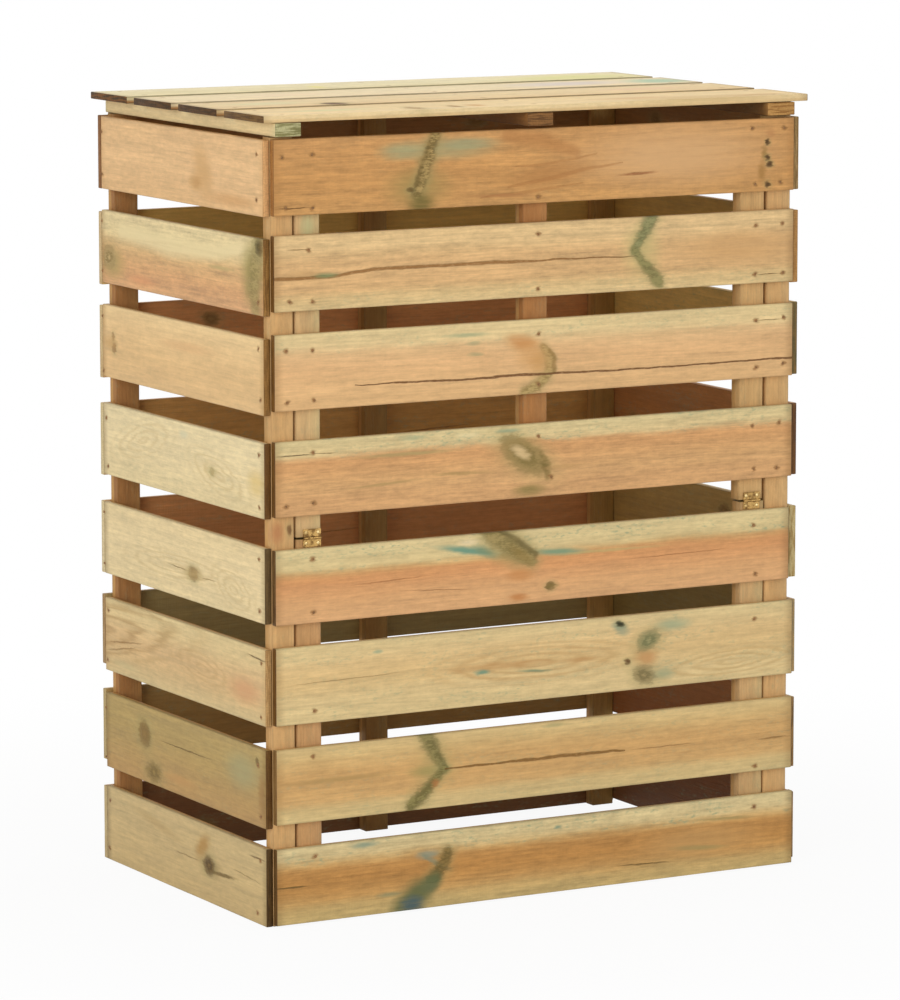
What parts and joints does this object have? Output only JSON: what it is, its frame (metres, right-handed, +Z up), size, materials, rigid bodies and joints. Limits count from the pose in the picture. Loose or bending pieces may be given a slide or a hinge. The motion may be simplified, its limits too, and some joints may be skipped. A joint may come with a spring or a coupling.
{
  "type": "slatted wooden compost bin",
  "caption": "Free-standing slatted pine compost bin with an open bottom, a slatted lid hinged at the back and a hinged flap at the foot of the front.",
  "frame": {"origin": "on the floor under the middle of the bin's outline", "axes": "+X along the long side, towards the right of the front; +Y from the front to the back; +Z up"},
  "size_m": [0.8, 0.4996, 1.0277],
  "materials": {
    "front_pine": "sawn, pressure treated",
    "flap_pine": "sawn, pressure treated",
    "side_pine": "sawn, pressure treated",
    "back_pine": "sawn, pressure treated",
    "frame_pine": "sawn, pressure treated",
    "lid_pine": "sawn, pressure treated",
    "brass": "bright, stamped"
  },
  "bodies": {
    "carcass": {"front_slat_1": "front_pine", "front_slat_2": "front_pine", "front_slat_3": "front_pine", "front_slat_4": "front_pine", "left_slat_1": "side_pine", "left_slat_2": "side_pine", "left_slat_3": "side_pine", "left_slat_4": "side_pine", "left_slat_5": "side_pine", "left_slat_6": "side_pine", "left_slat_7": "side_pine", "left_slat_8": "side_pine", "right_slat_1": "side_pine", "right_slat_2": "side_pine", "right_slat_3": "side_pine", "right_slat_4": "side_pine", "right_slat_5": "side_pine", "right_slat_6": "side_pine", "right_slat_7": "side_pine", "right_slat_8": "side_pine", "back_slat_1": "back_pine", "back_slat_2": "back_pine", "back_slat_3": "back_pine", "back_slat_4": "back_pine", "back_slat_5": "back_pine", "back_slat_6": "back_pine", "back_slat_7": "back_pine", "back_slat_8": "back_pine", "front_left_post": "frame_pine", "front_right_post": "frame_pine", "back_left_post": "frame_pine", "back_right_post": "frame_pine", "front_left_batten": "frame_pine", "front_middle_batten": "frame_pine", "front_right_batten": "frame_pine", "back_middle_batten": "frame_pine", "door_hinge_left_frame_leaf": "brass", "door_hinge_right_frame_leaf": "brass", "lid_hinge_left_body_leaf": "brass", "lid_hinge_right_body_leaf": "brass"},
    "flap": {"door_slat_1": "flap_pine", "door_slat_2": "flap_pine", "door_slat_3": "flap_pine", "door_slat_4": "flap_pine", "door_left_batten": "frame_pine", "door_right_batten": "frame_pine", "door_hinge_left_door_leaf": "brass", "door_hinge_right_door_leaf": "brass"},
    "lid": {"lid_slat_1": "lid_pine", "lid_slat_2": "lid_pine", "lid_slat_3": "lid_pine", "lid_slat_4": "lid_pine", "lid_left_batten": "lid_pine", "lid_middle_batten": "lid_pine", "lid_right_batten": "lid_pine", "lid_hinge_left_lid_leaf": "brass", "lid_hinge_right_lid_leaf": "brass"}
  },
  "joints": [
    {"name": "flap_swing", "type": "hinge", "parent": "carcass", "child": "flap", "pos_m": [0, -0.23935, 0.49374], "axis": [-1, 0, 0], "range_deg": [0, 135]},
    {"name": "lid_swing", "type": "hinge", "parent": "carcass", "child": "lid", "pos_m": [0, 0.24185, 0.9989], "axis": [-1, 0, 0], "range_deg": [0, 150]}
  ]
}
